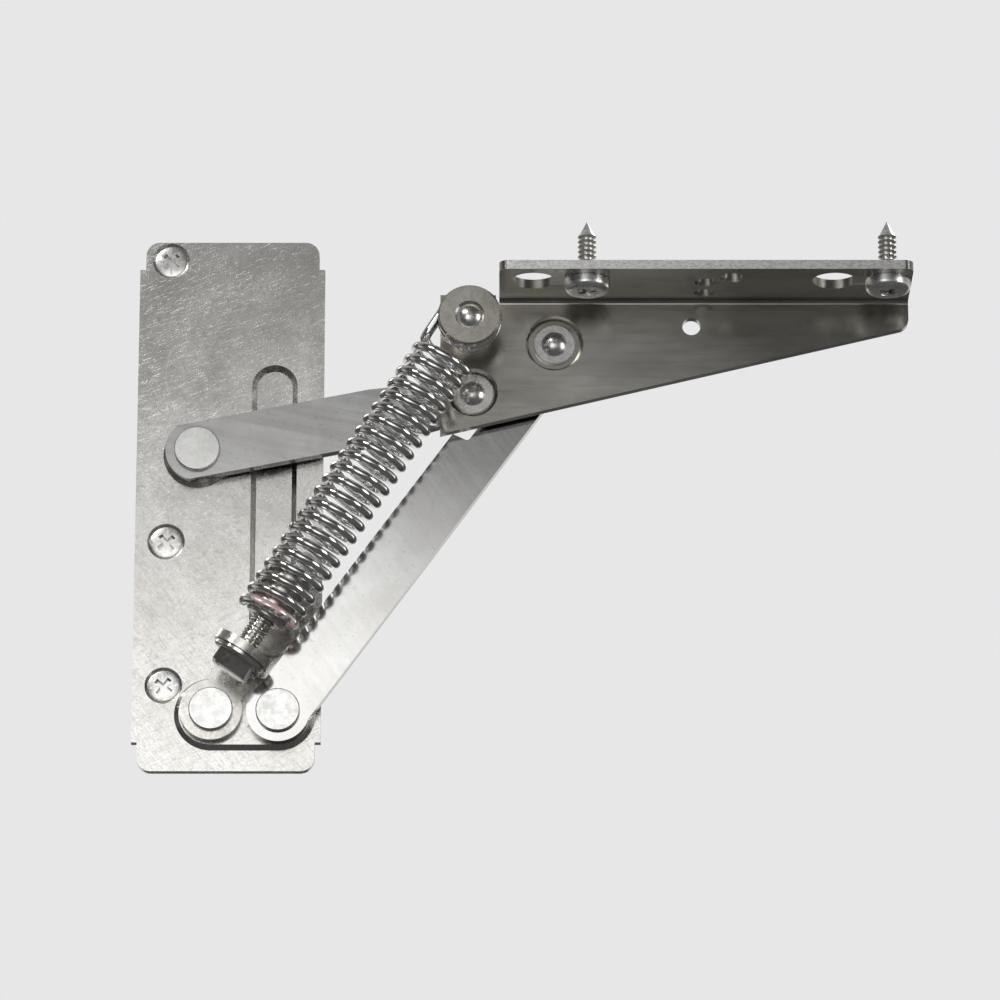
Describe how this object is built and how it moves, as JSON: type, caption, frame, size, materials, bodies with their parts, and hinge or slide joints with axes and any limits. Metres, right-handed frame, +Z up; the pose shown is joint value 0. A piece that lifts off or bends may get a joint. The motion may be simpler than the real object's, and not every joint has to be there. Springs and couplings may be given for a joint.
{
  "type": "lid stay",
  "caption": "Sprung lift-up flap stay: base plate, two pivoted flat arms, flanged lid bracket and an adjustable tension spring.",
  "frame": {"origin": "midway between the two upper cabinet screws, on the base plate's back face, which lies on the cabinet side", "axes": "+X out of the cabinet along the open flap, +Y into the cabinet side, +Z up"},
  "size_m": [0.1654, 0.0435, 0.119],
  "materials": {
    "plated_sheet": "nickel plated, satin, fine scratches",
    "bracket_sheet": "nickel plated, satin",
    "polished_bar": "nickel plated, smooth",
    "rivet_steel": "nickel plated",
    "spool_steel": "turned, nickel plated",
    "spring_wire": "bright drawn wire",
    "bolt_steel": "bright plated",
    "stirrup_steel": "bright plated",
    "screw_steel": "zinc plated"
  },
  "bodies": {
    "base": {"base_plate": "plated_sheet", "plate_screw_top": "screw_steel", "plate_screw_middle": "screw_steel", "plate_screw_bottom": "screw_steel", "lower_arm_base_rivet": "rivet_steel", "spring_base_rivet": "rivet_steel", "upper_arm_base_rivet_tail": "rivet_steel"},
    "lower_link": {"lower_arm": "polished_bar", "lower_arm_lid_rivet": "rivet_steel"},
    "lid_side": {"lid_bracket": "bracket_sheet", "spring_post": "rivet_steel", "spring_spool": "spool_steel", "spool_washer": "spool_steel", "lid_screw_inner": "screw_steel", "lid_screw_outer": "screw_steel"},
    "upper_link": {"upper_arm": "polished_bar", "upper_arm_lid_rivet": "rivet_steel", "upper_arm_base_rivet": "rivet_steel"},
    "spring_adjuster": {"spring_stirrup": "stirrup_steel", "spring_plug": "bolt_steel"},
    "bolt": {"adjusting_bolt": "bolt_steel"},
    "spring_end": {"tension_spring": "spring_wire"}
  },
  "joints": [
    {"name": "lower_arm_pivot", "type": "hinge", "parent": "base", "child": "lower_link", "pos_m": [0.0244, -0.00455, -0.0706], "axis": [0, 1, 0], "range_deg": [-33.8, 0], "stiffness_Nm_per_rad": 1, "springref_deg": 57.3},
    {"name": "flap_pivot", "type": "hinge", "parent": "lower_link", "child": "lid_side", "pos_m": [0.08285, -0.0069, 0.0104], "axis": [0, 1, 0], "range_deg": [0, 123.8]},
    {"name": "upper_arm_pivot", "type": "hinge", "parent": "lid_side", "child": "upper_link", "pos_m": [0.0654, -0.0069, -0.0008], "axis": [0, 1, 0], "range_deg": [-158.97, 0]},
    {"name": "spring_pivot", "type": "hinge", "parent": "base", "child": "spring_adjuster", "pos_m": [0.01025, -0.0043, -0.0702], "axis": [0, 1, 0], "range_deg": [-24.08, 0]},
    {"name": "spring_stretch", "type": "slide", "parent": "spring_adjuster", "child": "spring_end", "axis": [0.5517, 0, 0.8341], "range_m": [0, 0.02035], "deforming": ["tension_spring"]},
    {"name": "adjusting_bolt_turn", "type": "hinge", "parent": "spring_adjuster", "child": "bolt", "pos_m": [0.01685, -0.0133, -0.06021], "axis": [0.5504, -0.0667, 0.8322], "range_deg": [-360, 360]}
  ],
  "couplings": [
    {"joint": "flap_pivot", "follows": "lower_arm_pivot", "ratio": -3.6631},
    {"joint": "upper_arm_pivot", "follows": "lower_arm_pivot", "ratio": 4.7038},
    {"joint": "spring_pivot", "follows": "lower_arm_pivot", "ratio": 0.71237},
    {"joint": "spring_stretch", "follows": "lower_arm_pivot", "m_per_rad": -0.034473}
  ]
}
